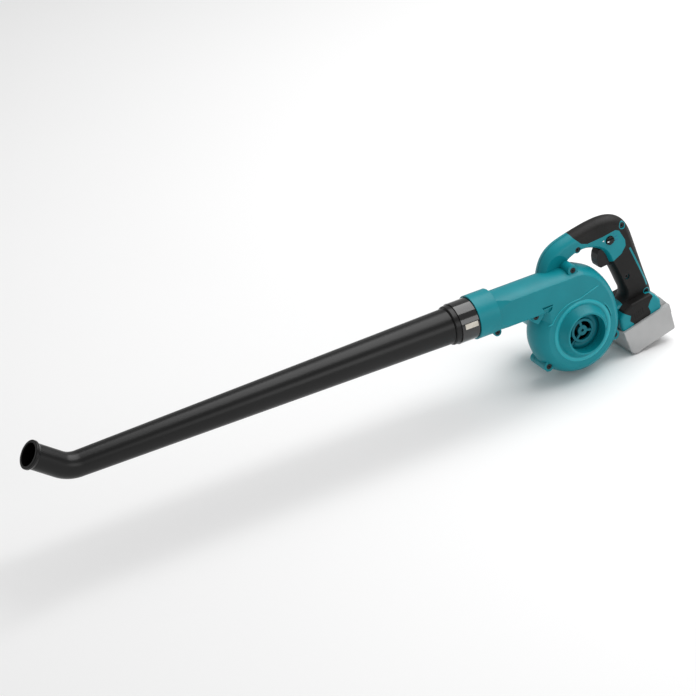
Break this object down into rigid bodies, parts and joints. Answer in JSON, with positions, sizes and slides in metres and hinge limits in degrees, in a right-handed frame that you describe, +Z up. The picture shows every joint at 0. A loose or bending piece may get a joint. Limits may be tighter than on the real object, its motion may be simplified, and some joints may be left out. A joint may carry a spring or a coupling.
{
  "type": "leaf blower",
  "caption": "Hand-held cordless leaf blower: fan scroll with side air inlet, loop handle with trigger, slide-on battery and a long tapered nozzle with a bent tip.",
  "frame": {"origin": "centre of the air inlet's mouth, on the fan axis", "axes": "+X from the nozzle towards the handle and battery, -Y out of the air inlet, +Z up"},
  "size_m": [0.9871, 0.1445, 0.213],
  "materials": {
    "teal_shell": "satin moulded plastic",
    "soft_grip": "fine textured overmould",
    "black_screw": "blackened steel",
    "black_plastic": "satin moulded plastic",
    "gloss_black": "gloss",
    "pale_mark": "gloss",
    "seal_rubber": "soft",
    "battery_shell": "satin",
    "button_plastic": "satin",
    "cell_wrap": "wrapped cell",
    "steel": "machined",
    "magnet": "matt",
    "copper": "machined",
    "board": "lacquered"
  },
  "bodies": {
    "machine": {"housing_near": "teal_shell", "housing_far": "teal_shell", "grip_overmould_near": "soft_grip", "grip_overmould_far": "soft_grip", "inlet_guard": "teal_shell", "fan_back_plate": "black_plastic", "motor_cover": "teal_shell", "outlet_seal": "seal_rubber", "motor_can": "steel", "magnet_upper": "magnet", "magnet_lower": "magnet", "motor_end_bell": "black_plastic", "brush_rear": "copper", "brush_front": "copper", "bearing_front": "steel", "bearing_rear": "steel", "motor_mount": "seal_rubber", "switch_body": "black_plastic", "control_board": "board", "terminal_block": "black_plastic", "terminal_blades": "copper", "trigger_spring": "steel", "screw_collar": "black_screw", "screw_tongue": "black_screw", "screw_scroll_front": "black_screw", "screw_scroll_top": "black_screw", "screw_scroll_rear": "black_screw", "screw_arch": "black_screw", "screw_handle_top": "black_screw", "screw_grip": "black_screw", "screw_grip_rear": "black_screw"},
    "rotor": {"impeller": "black_plastic", "fan_nut": "steel", "motor_shaft": "steel", "armature_core": "steel", "commutator": "copper"},
    "trigger": {"trigger": "black_plastic"},
    "selector": {"selector_dial": "black_plastic", "dial_pointer": "pale_mark"},
    "nozzle": {"nozzle_sleeve": "gloss_black", "mark_plate": "pale_mark", "long_pipe": "black_plastic", "pipe_bend": "black_plastic", "pipe_tip": "black_plastic"},
    "battery": {"battery_upper": "battery_shell", "battery_lower": "battery_shell", "battery_board": "board", "button_spring": "steel", "battery_cell_1": "cell_wrap", "battery_cell_2": "cell_wrap", "battery_cell_3": "cell_wrap", "battery_cell_4": "cell_wrap", "battery_cell_5": "cell_wrap", "battery_cell_6": "cell_wrap", "battery_screw_1": "steel", "battery_screw_2": "steel", "battery_screw_3": "steel", "battery_screw_4": "steel"},
    "release_button": {"release_button": "button_plastic"}
  },
  "joints": [
    {"name": "rotor_spin", "type": "hinge", "parent": "machine", "child": "rotor", "pos_m": [0, 0.06, 0], "axis": [0, 1, 0], "continuous": true},
    {"name": "trigger_squeeze", "type": "slide", "parent": "machine", "child": "trigger", "axis": [1, 0, 0], "range_m": [0, 0.007], "stiffness_N_per_m": 600, "springref_m": -0.008, "deforming": ["trigger_spring"]},
    {"name": "selector_turn", "type": "hinge", "parent": "machine", "child": "selector", "pos_m": [0.0735, 0.04, 0.1065], "axis": [0, 1, 0], "range_deg": [0, 60]},
    {"name": "nozzle_twist", "type": "hinge", "parent": "machine", "child": "nozzle", "pos_m": [-0.15, 0.0435, 0.066], "axis": [1, 0, 0], "range_deg": [0, 30]},
    {"name": "battery_slide", "type": "slide", "parent": "machine", "child": "battery", "axis": [0.9724, 0, 0.2334], "range_m": [0, 0.085]},
    {"name": "release_press", "type": "slide", "parent": "battery", "child": "release_button", "axis": [0.2334, 0, -0.9724], "range_m": [0, 0.0035], "stiffness_N_per_m": 400, "springref_m": -0.006, "deforming": ["button_spring"]}
  ]
}
